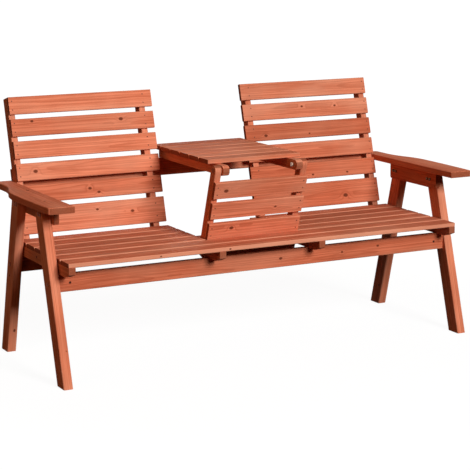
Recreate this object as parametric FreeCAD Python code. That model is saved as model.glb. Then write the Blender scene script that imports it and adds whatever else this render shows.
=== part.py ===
import FreeCAD, Part
import os
from math import acos, atan2, cos, degrees, hypot, radians, sin, sqrt, tan

# Companion seat bench: two seats side by side on one frame, with a table between them.
# The table stands on a leaning slatted panel that is pivoted between the two middle
# bearers. Folded back, the panel fills the gap in the seat and the table becomes the
# middle of the backrest, so that the bench seats three.
# Millimetres and degrees, +Z up, front of the seat towards -Y, X along the bench.
# While the pieces are built, Y is counted from the seat's front edge. At the end they
# all move by one amount, so that the origin is on the ground in the middle of the bench.

# Timber
slat_thick = 15.0
stock_thick = 24.0
slat_edge_bevel = 2.2
stock_edge_bevel = 1.8

# Legs
half_width = 800.0
leg_thick = 33.0
leg_width = 60.5
leg_edge_round = 4.0
front_leg_rake = 16.45
rear_leg_rake = 15.3
front_foot_y = 3.0
rear_foot_reach = 79.5

# Seat
seat_top = 415.0
seat_slat_width = 71.0
seat_slat_gap = 9.0
seat_rows = 6
full_rows = 2
seat_end_gap = 5.0

# Bearers and aprons
bearer_height = 36.5
bearer_tail = 54.0
bearer_nose_length = 36.0
bearer_nose_height = 13.5
opening_half = 185.0
apron_height = 60.0
front_apron_y = 83.0
rear_apron_inset = 23.0

# Armrests
arm_top = 606.0
arm_thick = 23.0
arm_width = 98.0
arm_tail_width = 59.0
arm_front_width = 90.0
arm_front_y = -5.0
arm_tail_past_rail = 1.0
arm_flare_length = 210.0
arm_narrow_length = 82.0
arm_front_round = 12.0
arm_tail_round = 12.0
arm_edge_round = 4.0

# Boards that carry the armrests on the inner side of the legs
support_thick = 18.0
support_height = 57.0
support_front_reach = 34.0
support_rear_inset = 2.4
support_corner_round = 9.0

# Back
back_lean = 15.34
back_gap = 2.0
back_slat_width = 62.5
back_slat_gap = 17.1
back_slats = 6
low_slat_width = 93.0
low_slat_rise = 14.0
back_inner_gap = 1.0
post_depth = 38.5
rail_top_rise = 256.0
rail_height = 65.0

# Table
table_slats = 6
table_slat_gap = 7.0
table_side_gap = 3.0
table_front_reach = 37.0
table_rest_gap = 0.3
batten_nose = 30.0

# Folding panel
panel_side_gap = 3.0
panel_slats = 4
upright_depth = 36.0
upright_tail = 36.0
side_play = 1.0
panel_stop_gap = 0.5

# Middle backrest, once folded
folded_lean = 13.5
folded_rail_gap = 4.0

# Fasteners
bolt_radius = 3.0
pivot_radius = 4.0
bolt_clearance = 0.1
pivot_clearance = 0.08
head_play = 0.4
head_radius = 7.5
head_height = 3.5
pivot_head_radius = 9.0
pivot_head_height = 2.2
washer_radius = 8.0
nut_across = 10.0
nut_height = 5.0
pivot_nut_across = 13.0
pivot_nut_height = 6.5
arm_bolt_drop = 25.5
arm_bolt_spread = 9.0
arm_bolt_shift = 11.0
apron_bolt_depth = 45.0
coach_length = 44.0
coach_spread = 9.0
coach_wall = 5.0

# Sizes that follow
seat_depth = seat_rows * seat_slat_width + (seat_rows - 1) * seat_slat_gap
seat_under = seat_top - slat_thick
bearer_under = seat_under - bearer_height
leg_inner = half_width - leg_thick
seat_half = leg_inner - seat_end_gap
back_half = seat_half - stock_thick
arm_under = arm_top - arm_thick
row_pitch = seat_slat_width + seat_slat_gap
opening_front = full_rows * row_pitch - seat_slat_gap
bearer_length = seat_depth + bearer_tail
rear_apron_y = seat_depth - rear_apron_inset
rear_foot_y = seat_depth + rear_foot_reach
table_slat_width = seat_slat_width
panel_slat_width = back_slat_width
batten_depth = upright_depth

# The back's slat fronts lie in one leaning plane. Along it, a height is counted from
# the ground, and a depth is counted square to it, from the slat fronts rearwards.
lean = radians(back_lean)
back_foot = seat_depth + back_gap - seat_top * tan(lean)
back_low = seat_top / cos(lean) + low_slat_rise
back_pitch = back_slat_width + back_slat_gap
back_top = back_low + low_slat_width + (back_slats - 1) * back_pitch
post_back = slat_thick + post_depth
rail_top = seat_top / cos(lean) + rail_top_rise
back_inner = opening_half + back_inner_gap
panel_half = opening_half - panel_side_gap
table_half = back_inner - table_side_gap


def back_point(height, depth):
    y = back_foot + height * sin(lean) + depth * cos(lean)
    z = height * cos(lean) - depth * sin(lean)
    return y, z


# The table lies on the front edge of the rail behind the posts, and its pivot is at half
# the depth of its battens. The panel's pivot is at half the depth of its uprights.
rail_edge_z = back_point(rail_top, post_back + slat_edge_bevel)[1]
table_under = rail_edge_z + table_rest_gap + batten_depth
pivot_high_z = table_under - batten_depth / 2
pivot_low_z = seat_under - upright_depth / 2

# Folded, the upper pivot is level with the lower one, and the battens stand upright
# just in front of the rail.
folded_depth = post_back - folded_rail_gap - batten_depth / 2
folded_height = (pivot_low_z + folded_depth * sin(lean)) / cos(lean)
folded_y = back_point(folded_height, folded_depth)[0]

# Raised, the panel's slats lean on the rear edge of the last full row. Both states fix
# the panel's lean and the distance between its two pivots.
stop_y = opening_front + panel_stop_gap
face_depth = slat_thick + upright_depth / 2
pivot_rise = pivot_high_z - pivot_low_z
reach = hypot(folded_y - stop_y, face_depth)
panel_lean = acos((face_depth + pivot_rise) / reach) - atan2(face_depth, folded_y - stop_y)
pivot_low_y = stop_y + face_depth * (1 + sin(panel_lean)) / cos(panel_lean)
pivot_high_y = pivot_low_y - pivot_rise * tan(panel_lean)
pivot_span = pivot_rise / cos(panel_lean)
panel_turn = 90.0 + degrees(panel_lean)
table_turn = 90.0 - folded_lean

table_front = pivot_high_y + table_front_reach
table_rear = table_front + table_slats * (table_slat_width + table_slat_gap) - table_slat_gap
upright_inner = panel_half - stock_thick
batten_outer = upright_inner - side_play
batten_inner = batten_outer - stock_thick
inner_post = opening_half + stock_thick

# The armrests run a little past the rail. They are wide over the legs, flare in, and go on
# narrow beside the back.
rail_back = post_back + slat_thick
rail_back_height = (arm_top + rail_back * sin(lean)) / cos(lean)
arm_rear_y = back_point(rail_back_height, rail_back)[0] + arm_tail_past_rail
arm_flare_end = arm_rear_y - arm_narrow_length
arm_flare_start = arm_flare_end - arm_flare_length

front_leg_half = leg_width / cos(radians(front_leg_rake)) / 2
rear_leg_half = leg_width / cos(radians(rear_leg_rake)) / 2
front_reach = front_foot_y - front_leg_half
rear_reach = back_point(back_top, post_back)[0]
bench_middle = (front_reach + rear_reach) / 2

pieces = {}


def point(x, y, z):
    return FreeCAD.Vector(x, y, z)


def block(x0, x1, y0, y1, z0, z1):
    return Part.makeBox(x1 - x0, y1 - y0, z1 - z0, point(x0, y0, z0))


def board(x0, x1, outline):
    """A flat outline of (y, z) corners, made as thick as x0 to x1."""
    corners = [point(x0, y, z) for y, z in outline]
    corners.append(corners[0])
    return Part.Face(Part.makePolygon(corners)).extrude(point(x1 - x0, 0, 0))


def edges_along(shape, direction):
    """The straight edges that run along one direction."""
    picked = []
    for edge in shape.Edges:
        if isinstance(edge.Curve, Part.Line):
            if edge.tangentAt(edge.FirstParameter).cross(direction).Length < 1e-6:
                picked.append(edge)
    return picked


def eased(shape, direction, bevel):
    """Take the sharpness off the long edges, as on planed boards."""
    return shape.makeChamfer(bevel, edges_along(shape, direction))


def slat(x0, x1, y0, y1, z0, z1):
    return eased(block(x0, x1, y0, y1, z0, z1), point(1, 0, 0), slat_edge_bevel)


def rod(x0, x1, y, z, radius):
    """A round bar along X."""
    return Part.makeCylinder(radius, x1 - x0, point(x0, y, z), point(1, 0, 0))


def span(side, near, far):
    """A stretch of X on one side of the bench, lowest value first."""
    return sorted((side * near, side * far))


def drilled(shape, side, near, far, places, radius):
    """Holes along X through one side's piece, a little past both faces."""
    x0, x1 = span(side, near, far)
    for y, z in places:
        shape = shape.cut(rod(x0 - 1, x1 + 1, y, z, radius))
    return shape


def leaned(shape):
    """Take a piece built upright, with its height along Z, into the back's plane."""
    shape.rotate(point(0, 0, 0), point(1, 0, 0), -back_lean)
    shape.translate(point(0, back_foot, 0))
    return shape


def raised(shape):
    """Turn a piece of the panel from its place in the seat up to the table."""
    shape.rotate(point(0, pivot_low_y, pivot_low_z), point(1, 0, 0), panel_turn)
    return shape


def keep(name, shape):
    pieces[name] = shape


SIDES = (("left", -1), ("right", 1))

# Where the fasteners sit, shared by the holes and the fasteners
arm_bolt_z = arm_under - arm_bolt_drop


def front_leg_y(z):
    return front_foot_y + z * tan(radians(front_leg_rake))


def rear_leg_y(z):
    return rear_foot_y - z * tan(radians(rear_leg_rake))


def arm_bolt_places(leg_y):
    middle = leg_y(arm_bolt_z) - arm_bolt_shift
    return [(middle - arm_bolt_spread, arm_bolt_z), (middle + arm_bolt_spread, arm_bolt_z)]


# The boards under the armrests start ahead of the front legs and end in the rear legs.
support_front_y = front_leg_y(arm_under) - front_leg_half - support_front_reach
support_rear_y = rear_leg_y(arm_under) + rear_leg_half - support_rear_inset

apron_middle_z = bearer_under - apron_height / 2
apron_bolt_places = {
    "front": (front_apron_y + stock_thick / 2, apron_middle_z),
    "rear": (rear_apron_y + stock_thick / 2, apron_middle_z),
}


def coach_places():
    """Two screws in each post, on a slant across the bearer behind it."""
    z = seat_under - bearer_height / 2
    height = (z + (slat_thick + post_depth / 2) * sin(lean)) / cos(lean)
    y = back_point(height, slat_thick + post_depth / 2)[0]
    return [(y - coach_spread, z + coach_spread), (y + coach_spread, z - coach_spread)]


def leg(side, leg_y, half, apron_place):
    foot, head = leg_y(0), leg_y(arm_under)
    outline = [(foot - half, 0), (foot + half, 0), (head + half, arm_under)]
    outline.append((head - half, arm_under))
    x0, x1 = span(side, leg_inner, half_width)
    shape = board(x0, x1, outline)
    long_edges = edges_along(shape, point(0, head - foot, arm_under).normalize())
    shape = shape.makeFillet(leg_edge_round, long_edges)
    holes = arm_bolt_places(leg_y) + [apron_place]
    return drilled(shape, side, leg_inner, half_width, holes, bolt_radius + bolt_clearance)


def armrest(side):
    """A paddle: straight inside, wide over the legs, narrow beside the back post."""
    inner = side * back_half
    wide = side * (back_half + arm_width)
    front = side * (back_half + arm_front_width)
    tail = side * (back_half + arm_tail_width)

    def at(x, y):
        return point(x, y, arm_under)

    def bend(start_x, start_y, end_x, end_y, along_start):
        """An arc that runs along Y at one end and turns off sideways to the other."""
        off, run = end_x - start_x, end_y - start_y
        radius = (off * off + run * run) / (2 * abs(off))
        half = atan2(abs(run), radius - abs(off)) / 2
        drift, travel = radius * (1 - cos(half)) / abs(off), radius * sin(half) / abs(run)
        if along_start:
            middle = at(start_x + off * drift, start_y + run * travel)
        else:
            middle = at(end_x - off * drift, end_y - run * travel)
        return Part.Arc(at(start_x, start_y), middle, at(end_x, end_y))

    mid_x, mid_y = (wide + tail) / 2, (arm_flare_start + arm_flare_end) / 2
    curves = [
        Part.LineSegment(at(inner, arm_front_y), at(front, arm_front_y)),
        bend(front, arm_front_y, wide, arm_flare_start, False),
        bend(wide, arm_flare_start, mid_x, mid_y, True),
        bend(mid_x, mid_y, tail, arm_flare_end, False),
        Part.LineSegment(at(tail, arm_flare_end), at(tail, arm_rear_y)),
        Part.LineSegment(at(tail, arm_rear_y), at(inner, arm_rear_y)),
        Part.LineSegment(at(inner, arm_rear_y), at(inner, arm_front_y)),
    ]
    outline = Part.Wire([curve.toShape() for curve in curves])
    shape = Part.Face(outline).extrude(point(0, 0, arm_thick))
    for x, y, radius in ((front, arm_front_y, arm_front_round), (tail, arm_rear_y, arm_tail_round)):
        corner = [edge for edge in shape.Edges if edge.BoundBox.ZLength > arm_thick / 2
                  and abs(edge.CenterOfMass.x - x) + abs(edge.CenterOfMass.y - y) < 0.01]
        shape = shape.makeFillet(radius, corner)
    upper = [edge for edge in shape.Edges if edge.BoundBox.ZMin > arm_top - arm_thick / 2]
    shape = shape.makeFillet(arm_edge_round, upper)
    lower = [edge for edge in shape.Edges if edge.BoundBox.ZMax < arm_under + arm_thick / 2]
    return shape.makeChamfer(stock_edge_bevel, lower)


def arm_support(side):
    x0, x1 = span(side, leg_inner - support_thick, leg_inner)
    shape = block(x0, x1, support_front_y, support_rear_y, arm_under - support_height, arm_under)
    corners = [edge for edge in shape.Edges if edge.BoundBox.XLength > support_thick / 2
               and edge.BoundBox.ZMax < arm_under - 1]
    shape = shape.makeFillet(support_corner_round, corners)
    holes = arm_bolt_places(front_leg_y) + arm_bolt_places(rear_leg_y)
    return drilled(shape, side, leg_inner - support_thick, leg_inner, holes,
                   bolt_radius + bolt_clearance)


def apron(y0, bolt_place):
    """A rail between the legs, with a bolt through the leg into each end."""
    shape = block(-leg_inner, leg_inner, y0, y0 + stock_thick, bearer_under - apron_height,
                  bearer_under)
    shape = eased(shape, point(1, 0, 0), stock_edge_bevel)
    y, z = bolt_place
    for name, side in SIDES:
        x0, x1 = span(side, leg_inner - apron_bolt_depth - bolt_clearance, leg_inner + 1)
        shape = shape.cut(rod(x0, x1, y, z, bolt_radius + bolt_clearance))
    return shape


def bearer(side, inner_face):
    outline = [(0, seat_under), (0, bearer_under + bearer_nose_height),
               (bearer_nose_length, bearer_under), (bearer_length, bearer_under),
               (bearer_length, seat_under)]
    x0, x1 = span(side, inner_face, inner_face + stock_thick)
    return board(x0, x1, outline)


def back_post(side, inner_face):
    """A post behind the back slats, cut off level with the bearer's lower face."""
    x0, x1 = span(side, inner_face, inner_face + stock_thick)
    shape = block(x0, x1, slat_thick, post_back, 0, back_top)
    shape = leaned(eased(shape, point(0, 0, 1), stock_edge_bevel))
    below = block(x0 - 1, x1 + 1, back_foot - back_top, rear_reach, -back_top, bearer_under)
    shape = shape.cut(below)
    return drilled(shape, side, inner_face, inner_face + stock_thick, coach_places(),
                   bolt_radius + bolt_clearance)


def upright(side):
    """A panel upright, made in its folded place and then raised."""
    x0, x1 = span(side, upright_inner, panel_half)
    end_round = upright_depth / 2
    low_end = pivot_low_y - upright_tail
    high_end = pivot_low_y + pivot_span
    shape = block(x0, x1, low_end, high_end, pivot_low_z - upright_depth / 2, seat_under)
    shape = eased(shape, point(0, 1, 0), stock_edge_bevel)
    shape = shape.fuse(rod(x0, x1, high_end, pivot_low_z, end_round)).removeSplitter()
    pivots = [(pivot_low_y, pivot_low_z), (high_end, pivot_low_z)]
    shape = drilled(shape, side, upright_inner, panel_half, pivots[:1],
                    pivot_radius + pivot_clearance)
    shape = drilled(shape, side, upright_inner, panel_half, pivots[1:],
                    pivot_radius + bolt_clearance)
    return raised(shape)


def batten(side):
    """A table batten with a rounded nose in front of its pivot."""
    x0, x1 = span(side, batten_inner, batten_outer)
    nose_round = batten_depth / 2
    nose_centre = pivot_high_y - (batten_nose - nose_round)
    shape = block(x0, x1, nose_centre, table_rear, table_under - batten_depth, table_under)
    shape = shape.fuse(rod(x0, x1, nose_centre, pivot_high_z, nose_round)).removeSplitter()
    return drilled(shape, side, batten_inner, batten_outer, [(pivot_high_y, pivot_high_z)],
                   pivot_radius + pivot_clearance)


def low_head(radius, height):
    """A low bolt head with its flat face on x = 0, narrowing towards -X."""
    return Part.makeCone(radius, radius * 0.55, height, point(0, 0, 0), point(-1, 0, 0))


def hexagon(x0, across, height):
    corner = across / sqrt(3)
    ring = [point(x0, corner * sin(radians(60 * i)), corner * cos(radians(60 * i)))
            for i in range(7)]
    return Part.Face(Part.makePolygon(ring)).extrude(point(height, 0, 0))


def placed(shape, side, x, y, z):
    """Put a fastener built along +X on one side, with its head away from the middle."""
    if side > 0:
        shape.rotate(point(0, 0, 0), point(0, 0, 1), 180)
    shape.translate(point(side * x, y, z))
    return shape


def coach_bolt(radius, grip, head_radius, head_height, across, height):
    """A low-headed bolt with its nut past the grip, as one fastener."""
    shape = low_head(head_radius, head_height)
    shape = shape.fuse(rod(0, grip, 0, 0, radius))
    return shape.fuse(hexagon(grip, across, height))


def coach_screw():
    """A hexagon head on x = 0, with its shank running on along +X."""
    shape = hexagon(-nut_height, nut_across, nut_height)
    return shape.fuse(rod(0, coach_length, 0, 0, bolt_radius))


def washer(side, near, far, y, z, hole):
    x0, x1 = span(side, near, far)
    return rod(x0, x1, y, z, washer_radius).cut(rod(x0 - 1, x1 + 1, y, z, hole))


def make_frame():
    places = apron_bolt_places
    for name, side in SIDES:
        keep("front_leg_" + name, leg(side, front_leg_y, front_leg_half, places["front"]))
        keep("rear_leg_" + name, leg(side, rear_leg_y, rear_leg_half, places["rear"]))
        keep("armrest_" + name, armrest(side))
        keep("arm_support_" + name, arm_support(side))
        end_bearer = drilled(bearer(side, back_half), side, back_half, seat_half - coach_wall,
                             coach_places(), bolt_radius + bolt_clearance)
        keep("end_bearer_" + name, end_bearer)
        hole = pivot_radius + bolt_clearance
        middle_bearer = drilled(bearer(side, opening_half), side, opening_half, inner_post,
                                [(pivot_low_y, pivot_low_z)], hole)
        middle_bearer = drilled(middle_bearer, side, opening_half + coach_wall, inner_post,
                                coach_places(), bolt_radius + bolt_clearance)
        keep("middle_bearer_" + name, middle_bearer)
    keep("front_apron", apron(front_apron_y, places["front"]))
    keep("rear_apron", apron(rear_apron_y, places["rear"]))


def make_seat():
    for row in range(seat_rows):
        y0 = row * row_pitch
        y1 = y0 + seat_slat_width
        name = "seat_slat_%d" % (row + 1)
        if row < full_rows:
            keep(name, slat(-seat_half, seat_half, y0, y1, seat_under, seat_top))
            continue
        for side_name, side in SIDES:
            x0, x1 = span(side, opening_half, seat_half)
            keep(name + "_" + side_name, slat(x0, x1, y0, y1, seat_under, seat_top))


def make_back():
    for side_name, side in SIDES:
        x0, x1 = span(side, back_inner, back_half)
        for row in range(back_slats):
            top = back_top - row * back_pitch
            low = top - back_slat_width
            if row == back_slats - 1:
                low = back_low
            shape = leaned(slat(x0, x1, 0, slat_thick, low, top))
            keep("back_slat_%d_%s" % (row + 1, side_name), shape)
        keep("outer_post_" + side_name, back_post(side, back_half - stock_thick))
        keep("inner_post_" + side_name, back_post(side, inner_post))
    rail = slat(-back_half, back_half, post_back, post_back + slat_thick,
                rail_top - rail_height, rail_top)
    keep("back_rail", leaned(rail))


def make_table():
    for row in range(table_slats):
        y0 = table_front + row * (table_slat_width + table_slat_gap)
        shape = slat(-table_half, table_half, y0, y0 + table_slat_width, table_under,
                     table_under + slat_thick)
        keep("table_slat_%d" % (row + 1), shape)
    for name, side in SIDES:
        keep("table_batten_" + name, batten(side))


def make_panel():
    """The panel's slats take the places of the rows that the opening leaves out. They are
    of the back's narrower stock."""
    for count in range(panel_slats):
        row = seat_rows - 1 - count
        y0 = row * row_pitch
        shape = slat(-panel_half, panel_half, y0, y0 + panel_slat_width, seat_under, seat_top)
        keep("panel_slat_%d" % (count + 1), raised(shape))
    for name, side in SIDES:
        keep("panel_upright_" + name, upright(side))


def make_fasteners():
    arm_bolts, apron_bolts, coach_screws, lower_pivots, upper_pivots = [], [], [], [], []
    for name, side in SIDES:
        for y, z in arm_bolt_places(front_leg_y) + arm_bolt_places(rear_leg_y):
            bolt = coach_bolt(bolt_radius, leg_thick + support_thick, head_radius, head_height,
                              nut_across, nut_height)
            arm_bolts.append(placed(bolt, side, half_width, y, z))
        for y, z in apron_bolt_places.values():
            reach_in = leg_thick + apron_bolt_depth
            bolt = low_head(head_radius, head_height).fuse(rod(0, reach_in, 0, 0, bolt_radius))
            apron_bolts.append(placed(bolt, side, half_width, y, z))
        for y, z in coach_places():
            coach_screws.append(placed(coach_screw(), -side, -(back_half - stock_thick), y, z))
            coach_screws.append(placed(coach_screw(), side, inner_post + stock_thick, y, z))
        outer_play = opening_half - panel_half - head_play
        grip = opening_half + stock_thick - upright_inner + head_play
        bolt = coach_bolt(pivot_radius, grip, pivot_head_radius, pivot_head_height,
                          pivot_nut_across, pivot_nut_height)
        lower_pivots.append(placed(bolt, side, inner_post, pivot_low_y, pivot_low_z))
        lower_pivots.append(washer(side, opening_half - outer_play, opening_half, pivot_low_y,
                                   pivot_low_z, pivot_radius + bolt_clearance))
        grip = panel_half - batten_inner + head_play
        bolt = coach_bolt(pivot_radius, grip, pivot_head_radius, pivot_head_height,
                          pivot_nut_across, pivot_nut_height)
        upper_pivots.append(placed(bolt, side, panel_half, pivot_high_y, pivot_high_z))
    keep("arm_bolts", Part.makeCompound(arm_bolts))
    keep("apron_bolts", Part.makeCompound(apron_bolts))
    keep("back_coach_screws", Part.makeCompound(coach_screws))
    keep("lower_pivot_bolts", Part.makeCompound(lower_pivots))
    keep("upper_pivot_bolts", Part.makeCompound(upper_pivots))


make_frame()
make_seat()
make_back()
make_table()
make_panel()
make_fasteners()

os.makedirs("parts", exist_ok=True)
for name, shape in pieces.items():
    shape.translate(point(0, -bench_middle, 0))
    shape.exportStep("parts/%s.step" % name)

print("nodes", len(pieces))
print("lower pivot", round(pivot_low_y - bench_middle, 3), round(pivot_low_z, 3))
print("upper pivot", round(pivot_high_y - bench_middle, 3), round(pivot_high_z, 3))
print("panel lean", round(degrees(panel_lean), 3), "span", round(pivot_span, 3))
print("panel turn", round(panel_turn, 4), "table turn on the panel",
      round(panel_turn + table_turn, 4), "ratio", round((panel_turn + table_turn) / panel_turn, 5))
print("table top", round(table_under + slat_thick, 2), "bench middle", round(bench_middle, 3))
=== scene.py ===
# %% [markdown]
# # Dressing a companion seat bench
#
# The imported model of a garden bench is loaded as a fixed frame. This lesson gives it the
# looks of stained softwood, with grain that runs along every board, knots, end grain and
# worn edges, and the steel fasteners that hold it together. The table in the middle folds,
# so everything that is added rides on the body that carries it.

# %% Load the frame
import random
from collections import namedtuple
from math import atan2, cos, pi, radians, sin, sqrt

import bmesh
import bpy
from mathutils import Matrix, Vector


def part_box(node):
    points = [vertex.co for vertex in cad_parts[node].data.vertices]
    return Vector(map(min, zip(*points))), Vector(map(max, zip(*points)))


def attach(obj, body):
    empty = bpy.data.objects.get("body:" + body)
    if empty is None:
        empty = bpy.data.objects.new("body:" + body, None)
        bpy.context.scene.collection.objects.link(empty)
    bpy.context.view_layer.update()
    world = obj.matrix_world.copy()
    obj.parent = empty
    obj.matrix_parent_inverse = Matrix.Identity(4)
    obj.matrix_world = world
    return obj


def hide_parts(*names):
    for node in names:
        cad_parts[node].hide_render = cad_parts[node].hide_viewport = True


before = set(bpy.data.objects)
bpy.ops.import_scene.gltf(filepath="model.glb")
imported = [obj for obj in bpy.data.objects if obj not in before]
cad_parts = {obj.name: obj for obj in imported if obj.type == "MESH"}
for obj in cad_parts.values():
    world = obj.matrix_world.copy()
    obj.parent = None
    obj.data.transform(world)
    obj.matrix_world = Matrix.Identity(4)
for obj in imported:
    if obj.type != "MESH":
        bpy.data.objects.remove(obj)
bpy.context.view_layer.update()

# %% [markdown]
# ## The directions in the bench
#
# Every board lies along one direction, and its grain has to follow it. The back leans back,
# the legs are raked and the table's panel leans forward. The angles could be typed in, but
# they are read from the frame, so that they fit it exactly: the line through the middles of
# two boards in one plane gives that plane's lean.


# %% Read the lean of the back and the panel
def middle(node):
    """The middle of a node's box."""
    low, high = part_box(node)
    return (Vector(low) + Vector(high)) / 2


def lean_between(lower, upper):
    """The angle from upright, towards +Y, of the line through two boards' middles."""
    step = middle(upper) - middle(lower)
    return atan2(step.y, step.z)


back_lean = lean_between("back_slat_5_left", "back_slat_1_left")
panel_lean = lean_between("panel_slat_3", "panel_slat_1")
print("back %.2f panel %.2f degrees" % (back_lean * 180 / pi, panel_lean * 180 / pi))

# %% [markdown]
# A leg has no second board in line with it. It is cut level at the foot and the head, so its
# box is as deep as its lean over that height and one level cut together. The cut depends on
# the lean, so the angle is found by repeating the sum until it settles.

# %% Read the rake of the legs
LEG_WIDTH = 0.0605
FIRST_GUESS = 0.28
ROUNDS = 20


def leg_lean(node):
    """A leg's lean, from how much further its box reaches than its own level cut."""
    low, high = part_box(node)
    reach, height = high[1] - low[1], high[2] - low[2]
    lean = FIRST_GUESS
    for _ in range(ROUNDS):
        lean = atan2(reach - LEG_WIDTH / cos(lean), height)
    return lean


front_rake = leg_lean("front_leg_left")
rear_rake = -leg_lean("rear_leg_left")
print("legs %.2f %.2f degrees" % (front_rake * 180 / pi, rear_rake * 180 / pi))

# %% [markdown]
# ## The camera
#
# The photograph was taken from in front and from the left, a little above the table, with a
# long lens. A camera could be aimed by eye, but the gaps between the slats are only a few
# pixels high, so the place, the three angles and the lens were fitted to the photograph's
# straight edges.

# %% Place the camera
camera_place = Vector((-2.66276, -5.14891, 1.51917))
camera_yaw = radians(27.4557)
camera_pitch = radians(11.0555)
camera_roll = radians(-0.2320)

forward = Vector((sin(camera_yaw) * cos(camera_pitch), cos(camera_yaw) * cos(camera_pitch),
                  -sin(camera_pitch)))
right = Vector((cos(camera_yaw), -sin(camera_yaw), 0))
up = right.cross(forward)
across = right * cos(camera_roll) + up * sin(camera_roll)
upward = up * cos(camera_roll) - right * sin(camera_roll)

lens = bpy.data.cameras.new("photo_view")
lens.sensor_width = 36
lens.lens = 124.17
lens.clip_end = 60
camera = bpy.data.objects.new("photo_view", lens)
turn = Matrix((across, upward, -forward)).transposed().to_4x4()
camera.matrix_world = Matrix.Translation(camera_place) @ turn
bpy.context.scene.collection.objects.link(camera)
bpy.context.scene.camera = camera
print("camera", tuple(round(value, 3) for value in camera.location))

# %% [markdown]
# ## A short way to write shaders
#
# A shader is a graph of sockets. Nodes could be made and linked one by one, but then the
# sums can't be read. `Wire` wraps one output socket so that they are written as in ordinary
# code, also with a number in front, as in `1 - mask`.


# %% Wrap sockets
class Wire:
    """An output socket that can be added, multiplied and so on."""

    def __init__(self, shader, socket):
        self.shader = shader
        self.socket = socket

    def __add__(self, other):
        return self.shader.math("ADD", self, other)

    def __sub__(self, other):
        return self.shader.math("SUBTRACT", self, other)

    def __rsub__(self, other):
        return self.shader.math("SUBTRACT", other, self)

    def __mul__(self, other):
        return self.shader.math("MULTIPLY", self, other)

    def __truediv__(self, other):
        return self.shader.math("DIVIDE", self, other)

    def __rtruediv__(self, other):
        return self.shader.math("DIVIDE", other, self)

    def __pow__(self, other):
        return self.shader.math("POWER", self, other)

    def __rpow__(self, other):
        return self.shader.math("POWER", other, self)

    def __neg__(self):
        return self * -1.0

    def __abs__(self):
        return self.shader.math("ABSOLUTE", self)

    __radd__ = __add__
    __rmul__ = __mul__


print("sockets can be added")

# %% [markdown]
# `Shader.node` adds any node, with its settings set first and the values or links of its
# sockets after them. The few nodes that come up again and again have short names of their
# own, and `surface` ends a material in one glossy surface.


# %% Build graphs
class Shader:
    """An emptied graph of nodes that belongs to a material or to the world."""

    def __init__(self, owner):
        self.owner = owner
        owner.use_nodes = True
        self.tree = owner.node_tree
        self.tree.nodes.clear()

    def feed(self, socket, value):
        if isinstance(value, Wire):
            self.tree.links.new(value.socket, socket)
        else:
            socket.default_value = value

    def node(self, kind, inputs=(), out=0, **settings):
        made = self.tree.nodes.new(kind)
        for key, value in settings.items():
            setattr(made, key, value)
        for key, value in dict(inputs).items():
            self.feed(made.inputs[key], value)
        return Wire(self, made.outputs[out]) if made.outputs else None

    def math(self, operation, *values):
        return self.node("ShaderNodeMath", enumerate(values), operation=operation)

    def dot(self, vector, direction):
        return self.node("ShaderNodeVectorMath", {0: vector, 1: tuple(direction)}, out="Value",
                         operation="DOT_PRODUCT")

    def vector(self, x, y, z):
        return self.node("ShaderNodeCombineXYZ", {0: x, 1: y, 2: z})

    def grey(self, value):
        return self.node("ShaderNodeCombineColor", {0: value, 1: value, 2: value})

    def noise(self, vector, scale, detail):
        return self.node("ShaderNodeTexNoise", {"Vector": vector, "Scale": scale,
                                                "Detail": detail})

    def step(self, value, low, high):
        """A soft step from 0 at low to 1 at high, either way round."""
        return self.node("ShaderNodeMapRange", {"Value": value, "From Min": low,
                                                "From Max": high},
                         interpolation_type="SMOOTHSTEP")

    def mix(self, factor, first, second, blend="MIX"):
        """Mix two colours, whose sockets are the node's seventh and eighth."""
        return self.node("ShaderNodeMix", {0: factor, 6: first, 7: second}, out=2,
                         data_type="RGBA", blend_type=blend)

    def surface(self, height, relief, **inputs):
        """End the graph in one glossy surface, with a height for its bumps."""
        inputs["Normal"] = self.node("ShaderNodeBump", {"Height": height, "Distance": relief,
                                                        "Strength": 1.0})
        inputs = {key.replace("_", " "): value for key, value in inputs.items()}
        return self.end(self.node("ShaderNodeBsdfPrincipled", inputs))

    def end(self, shaded, kind="ShaderNodeOutputMaterial"):
        self.node(kind, {"Surface": shaded})
        return self.owner


def shade(r, g, b):
    """A colour with full cover."""
    return (r, g, b, 1.0)


print("shader helpers ready")

# %% [markdown]
# ## Stained softwood
#
# A board is sawn from a log, so its grain is worked out in the log. The rings are circles
# round a heart that lies beside the board, which gives long arches on the wide faces, close
# lines on the edges and arcs on the ends, all from one formula. Ready-made stripes would be
# quicker, but they look the same on every face and don't turn into arcs at a sawn end.
#
# So a board's material has to know where the board lies, and measures everything in metres
# along it, across it and into it, from its middle. A ring is then as wide on a short board
# as on a long one.


# %% Where a board lies
class Board:
    """Where a board lies: its middle, three directions and its half sizes."""

    def __init__(self, node, along, wide, sizes):
        self.node = node
        self.middle = middle(node)
        self.along = along
        self.wide = wide
        self.deep = along.cross(wide)
        self.half = [size / 2 for size in sizes]
        self.chance = random.Random(node)
        self.knots = []
        self.edge_knots = []
        # How far the board is darkened; on the arm supports this is painted shade.
        self.stain = 0.0
        # How strong its painted highlight along the long edges is.
        self.painted_edge_highlight = 0.0


class BoardShader(Shader):
    """A board's own shader, with its three directions as wires."""

    def __init__(self, board):
        super().__init__(bpy.data.materials.new("wood_" + board.node))
        self.board = board
        place = self.node("ShaderNodeTexCoord", out="Object")
        self.local = self.node("ShaderNodeVectorMath", {0: place, 1: tuple(board.middle)},
                               operation="SUBTRACT")
        self.length, self.width, self.depth = (
            self.dot(self.local, way) for way in (board.along, board.wide, board.deep))
        self.seed = board.chance.uniform(0, 50)

    def grain(self, along, across, detail):
        """Noise that is drawn out along the board."""
        return self.noise(self.vector(self.length * along + self.seed, self.width * across,
                                      self.depth * across), 1.0, detail)


print("boards can be measured")

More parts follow.
